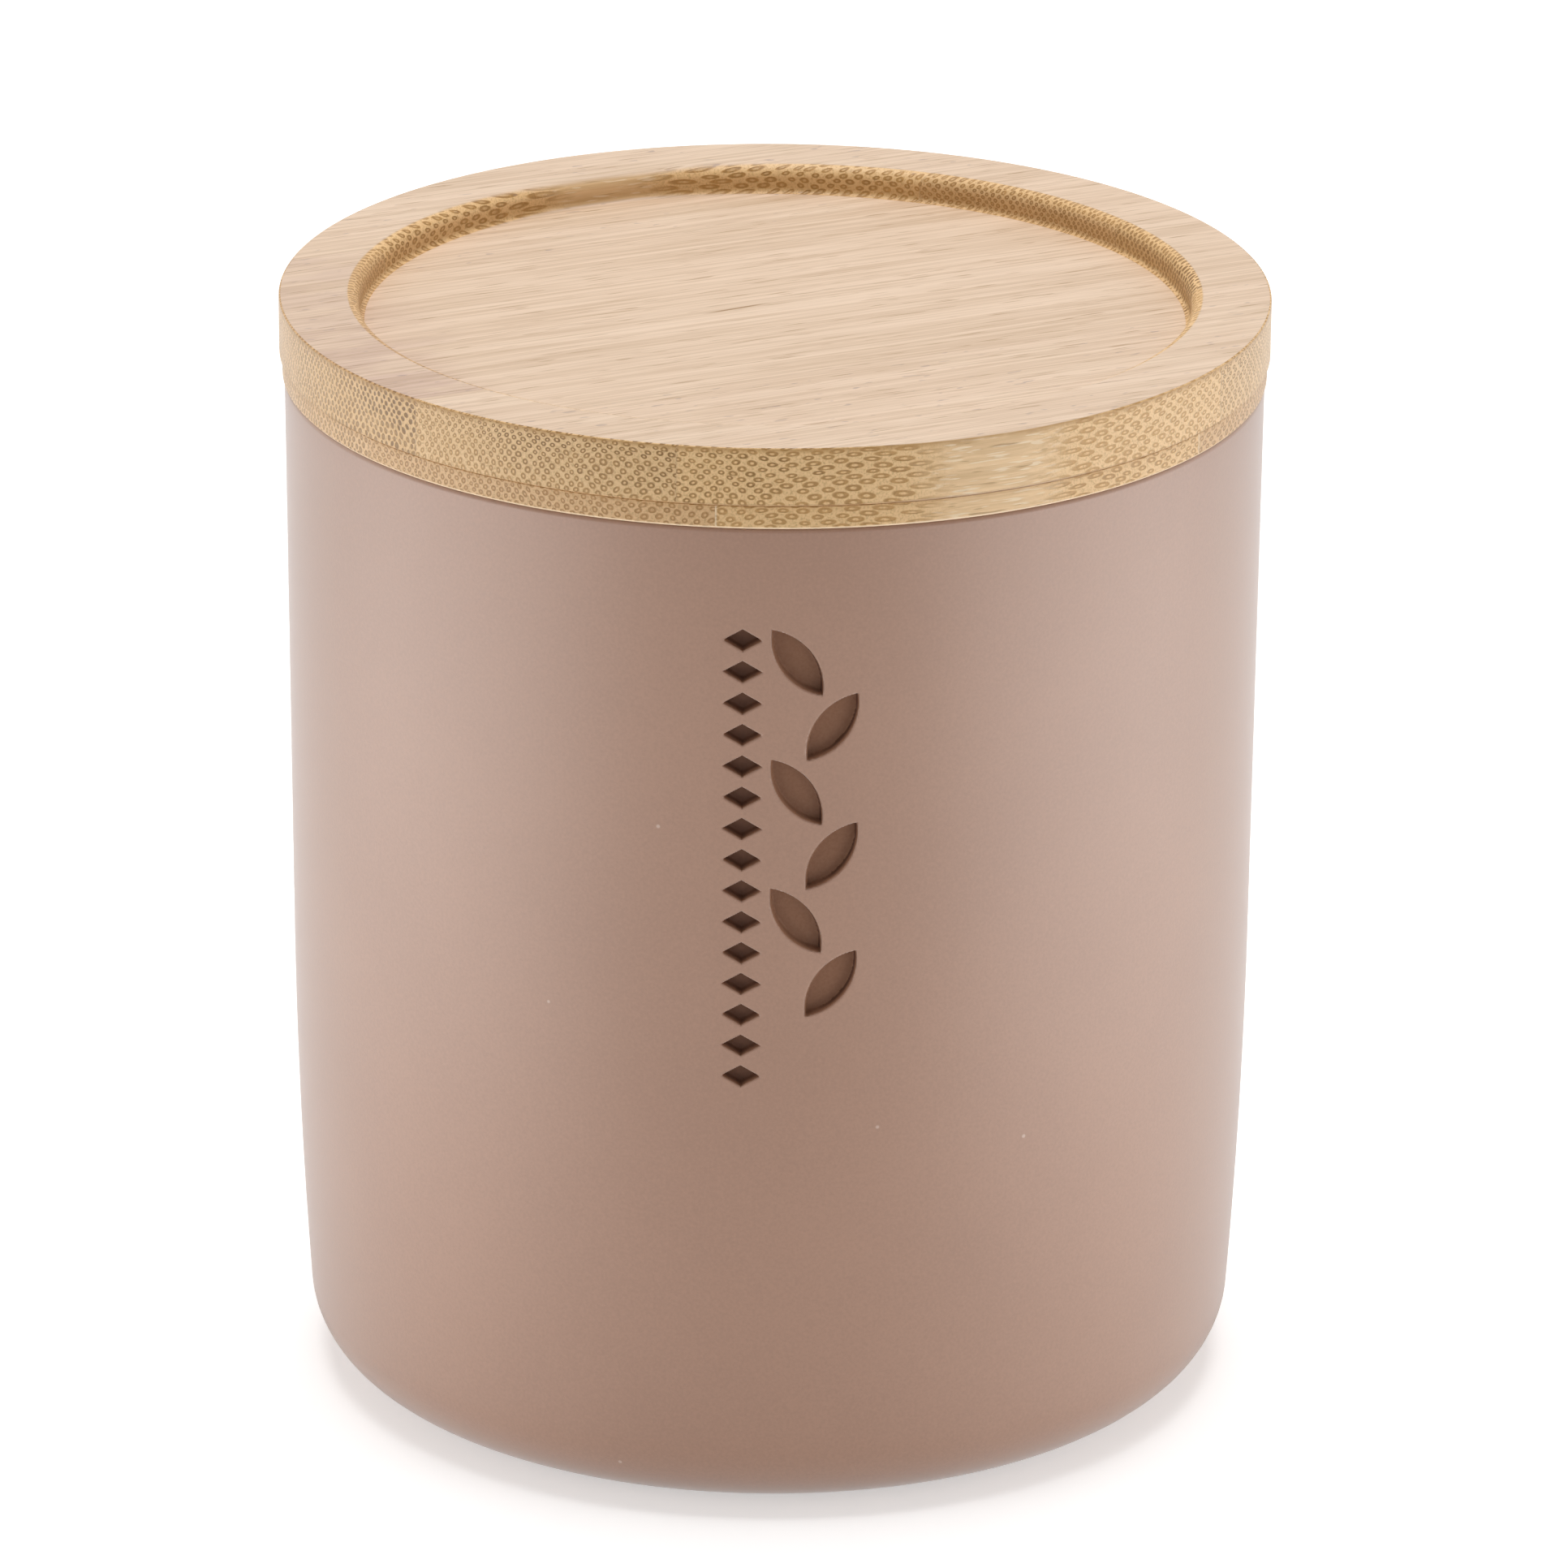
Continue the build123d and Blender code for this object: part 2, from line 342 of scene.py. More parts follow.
class Graph:
    """A node tree written as calls. Each input is a value or the socket that feeds it."""

    def __init__(self, tree):
        self.tree = tree

    def node(self, kind, inputs=None, **settings):
        """Adds a node and returns it."""
        made = self.tree.nodes.new(kind)
        for name, value in settings.items():
            setattr(made, name, value)
        for key, value in (inputs or {}).items():
            if isinstance(value, bpy.types.NodeSocket):
                self.tree.links.new(value, made.inputs[key])
            else:
                made.inputs[key].default_value = value
        return made

    def math(self, operation, *values):
        """Adds a Math node and returns its result."""
        return self.node("ShaderNodeMath", dict(enumerate(values)), operation=operation).outputs[0]

    def product(self, first, *others):
        """The product of several values."""
        for other in others:
            first = self.math("MULTIPLY", first, other)
        return first

    def smooth(self, value, low, high):
        """0 below low, 1 above high and a smooth rise between them, or a fall where low is above high."""
        if low > high:
            return self.math("SUBTRACT", 1.0, self.smooth(value, high, low))
        inputs = {"Value": value, "From Min": low, "From Max": high}
        return self.node("ShaderNodeMapRange", inputs, interpolation_type="SMOOTHSTEP").outputs["Result"]

    def noise(self, vector, scale, detail=2.0, roughness=0.5):
        """Adds a Noise Texture and returns its value, about 0.5."""
        inputs = {"Vector": vector, "Scale": scale, "Detail": detail, "Roughness": roughness}
        return self.node("ShaderNodeTexNoise", inputs).outputs["Fac"]

    def blend(self, factor, first, second, blend_type="MIX"):
        """Mixes two colours."""
        inputs = {0: factor, 6: first, 7: second}
        return self.node("ShaderNodeMix", inputs, data_type="RGBA", blend_type=blend_type).outputs[2]

    def scaled(self, vector, along, across, up):
        """The vector with each direction scaled."""
        return self.vector_math("MULTIPLY", vector, (along, across, up))

    def vector_math(self, operation, *vectors):
        """Adds a Vector Math node and returns its vector, or its value where the result is one."""
        outputs = self.node("ShaderNodeVectorMath", dict(enumerate(vectors)), operation=operation).outputs
        return outputs["Value"] if operation in ("DOT_PRODUCT", "LENGTH") else outputs["Vector"]

    def joined(self, x, y, z):
        """A vector from three values."""
        return self.node("ShaderNodeCombineXYZ", {0: x, 1: y, 2: z}).outputs[0]

    def parted(self, vector):
        """The three values of a vector."""
        return self.node("ShaderNodeSeparateXYZ", {0: vector}).outputs[:]


def new_material(name):
    """An empty material: its graph, and its shader linked to the output."""
    material = bpy.data.materials.new(name)
    material.use_nodes = True
    material.node_tree.nodes.clear()
    graph = Graph(material.node_tree)
    shader = graph.node("ShaderNodeBsdfPrincipled")
    graph.node("ShaderNodeOutputMaterial", {"Surface": shader.outputs[0]})
    return material, graph, shader


def feed(graph, shader, **sockets):
    """Links or sets the shader's sockets, with underscores for the spaces in their names."""
    for name, value in sockets.items():
        socket = shader.inputs[name.replace("_", " ")]
        if isinstance(value, bpy.types.NodeSocket):
            graph.tree.links.new(value, socket)
        else:
            socket.default_value = value


def background_rays(graph):
    """1 for the rays that show the background straight, mirrored or through glass, and 0 for others."""
    rays = graph.node("ShaderNodeLightPath").outputs
    indirect = graph.math("MAXIMUM", rays["Is Glossy Ray"], rays["Is Transmission Ray"])
    return graph.math("MAXIMUM", rays["Is Camera Ray"], indirect)


def opaque(rgb):
    """A colour with its alpha."""
    return (*rgb, 1.0)


# In the materials, lengths are in millimetres and scales are steps per millimetre. The two limits of each
# smooth() are where a pattern begins and ends.


def millimetre_coordinates(graph, turn=0.0):
    """Object coordinates in millimetres, turned about Z."""
    place = graph.node("ShaderNodeTexCoord").outputs["Object"]
    inputs = {"Vector": place, "Rotation": (0, 0, turn), "Scale": (1 / MM,) * 3}
    return graph.node("ShaderNodeMapping", inputs, vector_type="POINT").outputs[0]


def pressed_front(graph, look, ornament, z, radius):
    """How far a point lies under the pot's straight side, and the mask of the front with the ornament."""
    side_at_zero = (RIM_RADIUS - POT_HIGH.z * tan(look.side_draft)) / MM
    side = graph.math("MULTIPLY_ADD", z, tan(look.side_draft), side_at_zero)
    under = graph.math("SUBTRACT", side, radius)
    high, low = (limit / MM for limit in press_limits(look, ornament))
    depth = look.press_depth / MM

    # The mask leaves out the belly, the rim and the cavity
    front = graph.product(
        graph.smooth(z, low, low + 1),
        graph.smooth(z, high + 2, high + 1),
        graph.smooth(under, depth + 0.9, depth + 0.4),
    )
    return under, front


def cast_material(look, ornament):
    """The pot's cast body: matte, with a fine grain and a few pale specks, and painted shade in the ornament.
    """
    material, graph, shader = new_material("cast_body")
    place = millimetre_coordinates(graph)
    cloud = graph.noise(place, 0.05, 3)
    grain = graph.noise(place, 3.2, 3, 0.6)
    tone = graph.math("MULTIPLY_ADD", grain, 0.9, graph.product(cloud, 0.4))
    body = graph.blend(graph.smooth(tone, 0.35, 0.95), opaque(look.body_dark), opaque(look.body))

    # A few of the cells hold a speck, near their middles
    cells = graph.node("ShaderNodeTexVoronoi", {"Vector": place, "Scale": 0.28}).outputs
    chosen = graph.math("GREATER_THAN", graph.parted(cells["Color"])[0], 0.93)
    speck = graph.product(chosen, graph.smooth(cells["Distance"], 0.075, 0.03))
    body = graph.blend(graph.product(speck, 0.6), body, opaque(look.speck))

    # Painted shade darkens the ornament: lozenges more than leaves, and walls that face left most of all
    x, y, z = graph.parted(place)
    radius = graph.vector_math("LENGTH", graph.joined(x, y, 0.0))
    under, front = pressed_front(graph, look, ornament, z, radius)
    beside_lozenges = (ornament.lozenge_offset + ornament.lozenge_width / 2) / MM
    on_sprig = graph.smooth(x, beside_lozenges + 0.1, beside_lozenges + 0.7)
    darkness = graph.math("MULTIPLY_ADD", on_sprig, look.leaf_shade - look.lozenge_shade, look.lozenge_shade)
    # Walls that face left take extra painted shade, as if the light came more from the right
    normal = graph.node("ShaderNodeTexCoord").outputs["Normal"]
    left_facing_shade = graph.smooth(graph.parted(normal)[0], -0.15, -0.6)
    darkness = graph.math("MAXIMUM", darkness, graph.product(left_facing_shade, look.flank_shade))
    # How much painted shade each point of the ornament takes
    pressed = graph.product(graph.smooth(under, 0.15, 0.9), front, darkness)
    body = graph.blend(pressed, body, opaque(look.recess))
    feed(graph, shader, Base_Color=body)
    feed(graph, shader, Roughness=graph.math("MULTIPLY_ADD", grain, 0.12, look.roughness - 0.06))

    # The body's haze and gloss stay out of the ornament
    sunken = graph.product(graph.smooth(under, 0.04, 0.3), front)
    feed(graph, shader, Specular_IOR_Level=graph.math("MULTIPLY_ADD", sunken, -0.8, 1.0))
    sheen = graph.math("MULTIPLY_ADD", sunken, 0.05 - look.sheen, look.sheen)
    feed(graph, shader, Sheen_Weight=sheen, Sheen_Roughness=look.roughness)
    relief = graph.math("ADD", grain, graph.product(cloud, 2.0))
    relief = graph.math("MULTIPLY_ADD", speck, 0.3, relief)
    bump = graph.node("ShaderNodeBump", {"Strength": 0.35, "Distance": 0.02 * MM, "Height": relief})
    feed(graph, shader, Normal=bump.outputs[0])
    return material


def strip_places(graph, lid, number, levels):
    """Where a point of a strip lies, and how far its face is upright or cut across the grain."""
    place = millimetre_coordinates(graph, -lid.grain_angle)
    normal = graph.node("ShaderNodeTexCoord").outputs["Normal"]
    grain = (cos(lid.grain_angle), sin(lid.grain_angle), 0)
    tray = (LID_RADIUS - lid.tray_wall) / MM
    bottom, top = levels
    at = SimpleNamespace()
    at.along, at.across, up = graph.parted(place)
    at.height = graph.math("SUBTRACT", up, bottom)
    at.depth = graph.math("SUBTRACT", top, up)
    at.height_share = graph.math("DIVIDE", at.height, top - bottom)
    at.upright = graph.smooth(graph.math("ABSOLUTE", graph.parted(normal)[2]), 0.9, 0.4)
    along_grain = graph.vector_math("DOT_PRODUCT", normal, grain)
    at.cut = graph.smooth(graph.math("ABSOLUTE", along_grain), 0.06, 0.2)
    radius = graph.vector_math("LENGTH", graph.joined(at.along, at.across, 0.0))
    at.outer = graph.product(at.upright, graph.smooth(radius, tray + 2, tray + 3))
    at.in_tray = graph.product(at.upright, graph.smooth(radius, tray + 0.5, tray + 0.1))

    # Each strip comes from another place in the stem
    at.stem = graph.vector_math("ADD", place, (61.0 * number, 0, 23.0 * number))
    return at


def dark_streak(graph, at, start, end):
    """Mask of one fibre from start to end, thin and tapered, strongest in its middle."""
    (start_along, start_across), (end_along, end_across) = start, end
    slope = (end_across - start_across) / (end_along - start_along)
    line = graph.math("MULTIPLY_ADD", at.along, slope, start_across - slope * start_along)
    off_line = graph.math("ABSOLUTE", graph.math("SUBTRACT", at.across, line))
    middle, half = (start_along + end_along) / 2, (end_along - start_along) / 2
    reach = graph.math("ABSOLUTE", graph.math("SUBTRACT", at.along, middle))
    return graph.product(graph.smooth(off_line, 0.26, 0.06), graph.smooth(reach, half, 0.3 * half), 0.85)


def fibre_bundles(graph, look, vary, at):
    """How far a point lies from its fibre bundle's middle, with 1 at the edge, and the bundle's tone.

    The bundles stand in rows in the plane across the grain, each half a step on from the last, and loosened.
    """
    wander = graph.noise(graph.scaled(at.stem, 0.04, 0.2, 0.2), 1.0, 1)
    lift = graph.noise(graph.scaled(at.stem, 0.04, 0.3, 0.2), 1.3, 1)
    pitch, row = look.pitch / MM * vary["size"], look.row / MM * vary["size"]
    closeness = graph.math("MULTIPLY_ADD", at.height_share, vary["closer"] / 2, 1.0 - vary["closer"] / 2)
    row_place = graph.product(graph.math("DIVIDE", graph.math("ADD", lift, at.height), row), closeness)
    column_place = graph.math("DIVIDE", graph.math("MULTIPLY_ADD", wander, 1.3, at.across), pitch)
    column_place = graph.math("MULTIPLY_ADD", row_place, 0.5, column_place)
    lattice = graph.joined(column_place, row_place, 0.0)
    cells = {"Vector": lattice, "Scale": 1.0, "Randomness": look.looseness}
    nearest = graph.node("ShaderNodeTexVoronoi", cells, voronoi_dimensions="2D").outputs

    # From the bundle's middle, in shares of its half width and half height
    columns, rows, _ = graph.parted(graph.vector_math("SUBTRACT", lattice, nearest["Position"]))
    columns = graph.math("MULTIPLY_ADD", rows, -0.5, columns)
    columns = graph.product(columns, 2 * look.pitch / look.bundle_width)
    rows = graph.product(rows, 2 * look.row / look.bundle_height)
    size, tone, _ = graph.parted(nearest["Color"])
    distance = graph.vector_math("LENGTH", graph.joined(columns, rows, 0.0))
    return graph.math("DIVIDE", distance, graph.math("MULTIPLY_ADD", size, 0.3, 0.82)), tone


def end_grain(graph, look, vary, at, edges):
    """Colour of fibres that are cut across, and the mask of the bundles' rings."""
    distance, tone = fibre_bundles(graph, look, vary, at)
    worn = graph.smooth(graph.noise(at.stem, 2.6, 1), 0.3, 0.52)
    worn = graph.math("MULTIPLY_ADD", worn, 0.55, 0.45)
    ring = graph.product(graph.smooth(distance, 0.36, 0.66), graph.smooth(distance, 1.2, 0.9), worn)
    mark = graph.math("MAXIMUM", ring, graph.product(graph.smooth(distance, 0.9, 0.4), vary["fill"]))

    # Tan ground with brown crumbs, and a pale net between the rings and in their middles
    crumb = graph.noise(at.stem, 4.5, 2, 0.6)
    net = graph.math("MAXIMUM", graph.smooth(distance, 1.05, 1.3), graph.smooth(distance, 0.5, 0.3))
    net = graph.product(net, graph.math("MULTIPLY_ADD", crumb, 1.1, 0.25))
    ground = graph.blend(net, opaque(look.ground), opaque(look.net))
    ground = graph.blend(graph.product(graph.smooth(crumb, 0.5, 0.3), 0.3), ground, opaque(look.brown))

    # The rings' darkness varies across the strip, in patches, by bundle, along the grain and with the height
    (low, high), (low_dark, high_dark), (low_fade, high_fade) = edges, vary["dark"], vary["fade"]
    slope = graph.smooth(at.across, low + low_fade, high - high_fade)
    dark = graph.math("MULTIPLY_ADD", slope, high_dark - low_dark, low_dark)
    patch = graph.smooth(graph.noise(graph.scaled(at.stem, 0.02, 0.13, 0.4), 1.0, 2), 0.32, 0.6)
    patch = graph.math("MULTIPLY_ADD", patch, 0.5, 0.5)
    each = graph.math("MULTIPLY_ADD", tone, 0.4, 0.7)
    near_end = graph.math("MULTIPLY_ADD", graph.smooth(at.along, -36, 10), -vary["worn"], 1.0)
    with_height = graph.math("MULTIPLY_ADD", at.height_share, vary["faint"], 1.0 - vary["faint"])
    dark = graph.product(mark, dark, patch, each, near_end, with_height)
    return graph.blend(dark, ground, opaque(look.brown)), mark


def side_grain(graph, look, vary, at):
    """Colour of fibres seen from the side, the tone of their streaks and the mask of short dark dashes."""
    broad = graph.noise(graph.scaled(at.stem, 0.012, 0.22, 0.22), 1.0, 1)
    streak = graph.noise(graph.scaled(at.stem, 0.03, 1.5, 1.5), 1.0, 2, 0.6)
    fine = graph.noise(graph.scaled(at.stem, 0.08, 4.2, 4.2), 1.0, 2, 0.6)
    tone = graph.math("MULTIPLY_ADD", broad, 0.35, graph.math("MULTIPLY_ADD", fine, 0.9, streak))
    mid = graph.blend(at.upright, opaque(look.mid), opaque(look.mid_wall))
    pale = graph.blend(at.upright, opaque(look.pale), opaque(look.pale_wall))
    side = graph.blend(graph.smooth(tone, 0.8, 1.4), mid, pale)

    dashes = graph.noise(graph.scaled(at.stem, 0.2, 3.4, 3.4), 1.0, 1)
    dashes = graph.product(graph.smooth(dashes, 0.64, 0.74), 0.5)
    side = graph.blend(dashes, side, opaque(look.brown))
    # Pale threads on upright faces: painted highlights along glossy fibres
    threads = graph.noise(graph.scaled(at.stem, 0.22, 3.0, 3.0), 1.3, 1)
    threads = graph.product(graph.smooth(threads, 0.57, 0.66), at.upright, 0.75)
    side = graph.blend(threads, side, opaque(look.thread_highlight))
    if vary["streak"]:
        side = graph.blend(dark_streak(graph, at, *vary["streak"]), side, opaque(look.brown))
    return side, tone, dashes


def smudged(graph, look, vary, at, bamboo):
    """The bamboo in the strip's own tint, smudged, and with pores where a sanded face is smudged."""
    smudge = graph.noise(graph.scaled(at.stem, 0.08, 0.22, 0.3), 1.0, 3, 0.6)
    smudge = graph.math("MULTIPLY_ADD", graph.smooth(smudge, 0.36, 0.56), 0.6, 0.4)
    smudge = graph.product(smudge, graph.smooth(at.along, vary["smudged"] + 10, vary["smudged"]))
    tint = graph.blend(smudge, opaque(vary["tint"]), opaque(vary["smudge"]))
    tint = graph.blend(at.upright, tint, opaque(vary["wall"]))
    bamboo = graph.blend(1.0, bamboo, tint, "MULTIPLY")
    pores = graph.smooth(graph.noise(graph.scaled(at.stem, 0.5, 1.6, 1.6), 1.0, 1), 0.68, 0.76)
    pores = graph.product(pores, smudge, graph.math("SUBTRACT", 1.0, at.upright), 0.5)
    return graph.blend(pores, bamboo, opaque(look.pore))


def banded(graph, look, vary, at, bamboo):
    """The bamboo with its bands: under the upper arris, at the wall's foot and, as painted shade, at the tray
    wall's foot.
    """
    frayed = graph.noise(graph.scaled(at.stem, 0.6, 0.6, 0.6), 1.0, 2)
    under_top = graph.smooth(graph.math("MULTIPLY_ADD", frayed, 0.8, at.depth), 1.15, 0.45)
    bamboo = graph.blend(graph.product(under_top, at.outer, vary["top_band"]), bamboo, opaque(look.edge))
    # Band at the wall's foot: dark above the seam on the upper board, a painted highlight on the lower board
    low_band_and_highlight_mask = graph.product(graph.smooth(at.height, 0.3, 0.05), vary["low_band_and_highlight"])
    bamboo = graph.blend(low_band_and_highlight_mask, bamboo, opaque(vary["low_colour_and_highlight"]))
    # Painted shade at the foot of the tray's wall, in the tray's corner
    painted_tray_shade = graph.product(at.in_tray, graph.smooth(at.depth, 0.8, 2.0), vary["tray_shade"])
    return graph.blend(painted_tray_shade, bamboo, opaque(look.edge))


def glued(graph, vary, at, edges, bamboo):
    """The bamboo with thin glue lines at both sides of the strip."""
    for line, strength in zip(edges, vary["glue"]):
        glue = graph.smooth(graph.math("ABSOLUTE", graph.math("SUBTRACT", at.across, line)), 0.14, 0.04)
        bamboo = graph.blend(graph.product(glue, strength), bamboo, opaque(vary["glue_colour"]))
    return bamboo


def bamboo_material(name, look, lid, number, edges, levels, vary):
    """Bamboo of one strip. Its fibre bundles run along the grain and show as rings where they are cut."""
    material, graph, shader = new_material(name)
    at = strip_places(graph, lid, number, levels)
    side, tone, dashes = side_grain(graph, look, vary, at)
    end, mark = end_grain(graph, look, vary, at, edges)
    bamboo = graph.blend(at.cut, side, end)
    bamboo = smudged(graph, look, vary, at, bamboo)
    bamboo = banded(graph, look, vary, at, bamboo)
    bamboo = glued(graph, vary, at, edges, bamboo)
    feed(graph, shader, Base_Color=bamboo)
    feed(graph, shader, Roughness=graph.math("MULTIPLY_ADD", tone, 0.12, look.roughness - 0.12))
    feed(graph, shader, Sheen_Weight=graph.product(at.outer, look.sheen), Sheen_Roughness=look.roughness)

    # The streaks stand proud, and the dashes and rings lie deeper
    side_relief = graph.math("SUBTRACT", graph.product(tone, 0.7), dashes)
    end_relief = graph.product(mark, -0.9)
    relief = graph.node("ShaderNodeMix", {0: at.cut, 2: side_relief, 3: end_relief}).outputs[0]
    bump = graph.node("ShaderNodeBump", {"Strength": 0.6, "Distance": 0.06 * MM, "Height": relief})
    feed(graph, shader, Normal=bump.outputs[0])
    return material


def silicone_material(look):
    """Milky silicone with a faint haze of dust on it."""
    material, graph, shader = new_material("milky_silicone")
    place = millimetre_coordinates(graph)
    haze = graph.noise(place, 1.2, 3)
    milky = graph.blend(graph.smooth(haze, 0.35, 0.7), opaque(look.silicone), opaque(look.haze))
    feed(graph, shader, Base_Color=milky, Roughness=graph.math("MULTIPLY_ADD", haze, 0.25, 0.3))
    feed(graph, shader, Subsurface_Weight=0.3, Subsurface_Scale=0.8 * MM)
    bump = graph.node("ShaderNodeBump", {"Strength": 0.3, "Distance": 0.01 * MM, "Height": haze})
    feed(graph, shader, Normal=bump.outputs[0])
    return material


def foam_material(look):
    """Dark closed-cell foam with its small pores."""
    material, graph, shader = new_material("dark_foam")
    place = millimetre_coordinates(graph)
    cells = graph.node("ShaderNodeTexVoronoi", {"Vector": place, "Scale": 2.6}).outputs["Distance"]
    cloud = graph.noise(place, 0.2, 3)
    foam = graph.blend(graph.smooth(cells, 0.1, 0.5), opaque(look.foam_pore), opaque(look.foam))
    foam = graph.blend(graph.product(cloud, 0.5), foam, opaque(look.dust))
    feed(graph, shader, Base_Color=foam, Roughness=graph.math("MULTIPLY_ADD", cloud, 0.15, 0.8))
    bump = graph.node("ShaderNodeBump", {"Strength": 0.8, "Distance": 0.12 * MM, "Height": cells})
    feed(graph, shader, Normal=bump.outputs[0])
    return material


def arc(centre, radius, start, end, steps):
    """Points of an arc, both ends included. Angle 0 points outwards and a quarter turn points up."""
    turns = [start + (end - start) * n / steps for n in range(steps + 1)]
    return [(centre[0] + radius * cos(t), centre[1] + radius * sin(t)) for t in turns]


def turned(name, rings, steps):
    """A closed turned body: a disc at the first ring, pulled out from ring to ring."""
    bpy.ops.object.select_all(action="DESELECT")
    radius, height = rings[0]
    place = (0, 0, height)
    bpy.ops.mesh.primitive_circle_add(vertices=steps, radius=radius, fill_type="NGON", location=place)
    body = bpy.context.object
    body.name = body.data.name = name
    bpy.ops.object.transform_apply(location=True)
    bpy.ops.object.mode_set(mode="EDIT")
    for next_radius, next_height in rings[1:]:
        rise = (0, 0, next_height - height)
        bpy.ops.mesh.extrude_region_move(TRANSFORM_OT_translate={"value": rise})
        widen = next_radius / radius
        bpy.ops.transform.resize(value=(widen, widen, 1), center_override=(0, 0, next_height))
        radius, height = next_radius, next_height
    bpy.ops.mesh.select_all(action="SELECT")
    bpy.ops.mesh.normals_make_consistent(inside=False)
    bpy.ops.object.mode_set(mode="OBJECT")
    return body


def make_active(piece):
    """Selects one object alone."""
    bpy.ops.object.select_all(action="DESELECT")
    piece.select_set(True)
    bpy.context.view_layer.objects.active = piece


def finish_piece(piece, node, body, material, sharp_angle):
    """Shades a finished piece, gives it its material and puts it in its CAD node's place."""
    make_active(piece)
    bpy.ops.object.shade_smooth_by_angle(angle=sharp_angle)
    piece.modifiers.new("even_shading", "WEIGHTED_NORMAL").keep_sharp = True
    bpy.ops.object.modifier_apply(modifier="even_shading")
    piece.data.materials.clear()
    piece.data.materials.append(material)
    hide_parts(node)
    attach(piece, body)


def dress_node(node, material):
    """Gives a CAD node its finish."""
    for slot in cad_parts[node].material_slots:
        slot.material = material


def side_radius(pot, inset, height):
    """Radius of the pot's straight side at a height, moved in by inset."""
    return RIM_RADIUS - inset - (POT_HIGH.z - height) * tan(pot.side_draft)


def side_outline(pot, inset, bottom, corner):
    """The pot's side from the top of its belly down to the corner at a flat bottom, moved in by inset."""
    belly_z = POT_LOW.z + pot.belly_height
    belly_x = side_radius(pot, inset, belly_z)
    radius = pot.belly_radius - inset
    centre = (belly_x - radius * cos(pot.side_draft), belly_z + radius * sin(pot.side_draft))
    corner_z = bottom + corner
    meet = asin((centre[1] - corner_z) / (radius - corner))
    corner_x = centre[0] + (radius - corner) * cos(meet)
    belly = arc(centre, radius, -pot.side_draft, -meet, BELLY_STEPS)
    return belly[:-1] + arc((corner_x, corner_z), corner, -meet, -pi / 2, FOOT_STEPS)


def press_limits(pot, ornament):
    """Upper and lower height of the front that is refined for the ornament."""
    return POT_HIGH.z - ornament.drop + pot.press_margin, POT_LOW.z + pot.belly_height


def ornament_distance(ornament, x, z):
    """Distance from a point of the front to the nearest edge of the ornament, negative inside it."""
    top = POT_HIGH.z - ornament.drop
    half_length, half_width = ornament.leaf_length / 2, ornament.leaf_width / 2
    bow = (half_length**2 + half_width**2) / (2 * half_width)
    nearest = inf
    for n in range(ornament.leaf_count):
        side = 1 if n % 2 else -1
        middle_x = ornament.sprig_offset + side * ornament.leaf_reach
        middle_z = top - half_length * cos(ornament.leaf_tilt) - n * ornament.leaf_pitch
        lean = side * ornament.leaf_tilt
        across = (x - middle_x) * cos(lean) - (z - middle_z) * sin(lean)
        along = (x - middle_x) * sin(lean) + (z - middle_z) * cos(lean)
        nearest = min(nearest, hypot(abs(across) + bow - half_width, along) - bow)
    wide, high = ornament.lozenge_width / 2, ornament.lozenge_height / 2
    for n in range(ornament.lozenge_count):
        middle_z = top - high - n * ornament.lozenge_pitch
        outside = abs(x - ornament.lozenge_offset) / wide + abs(z - middle_z) / high - 1
        nearest = min(nearest, outside * wide * high / hypot(wide, high))
    return nearest


def press_ornament(shell, pot, ornament):
    """Refines the pot's front and presses the ornament into it."""
    top, bottom = press_limits(pot, ornament)
    left = ornament.lozenge_offset - ornament.lozenge_width
    right = ornament.sprig_offset + ornament.leaf_reach + ornament.leaf_length / 2
    outer = RIM_RADIUS - pot.wall / 2
    make_active(shell)
    bpy.ops.object.mode_set(mode="EDIT")
    bpy.ops.mesh.select_mode(type="FACE")
    bpy.ops.mesh.select_all(action="DESELECT")
    bpy.ops.object.mode_set(mode="OBJECT")
    for face in shell.data.polygons:
        x, y, z = face.center
        face.select = left < x < right and y < 0 and bottom < z < top and hypot(x, y) > outer
    bpy.ops.object.mode_set(mode="EDIT")
    bpy.ops.mesh.subdivide(number_cuts=pot.press_cuts)
    bpy.ops.object.mode_set(mode="OBJECT")
    for vertex in shell.data.vertices:
        if not vertex.select:
            continue
        x, y, z = vertex.co
        edge = ornament_distance(ornament, x, z)

        # From 0 outside the sloping edge to 1 inside it, with a smooth rise between
        into = min(max(0.5 - edge / pot.press_flank, 0.0), 1.0)
        radius = side_radius(pot, 0.0, z) - pot.press_depth * into * into * (3 - 2 * into)
        vertex.co.y = -sqrt(max(radius * radius - x * x, 0.0))


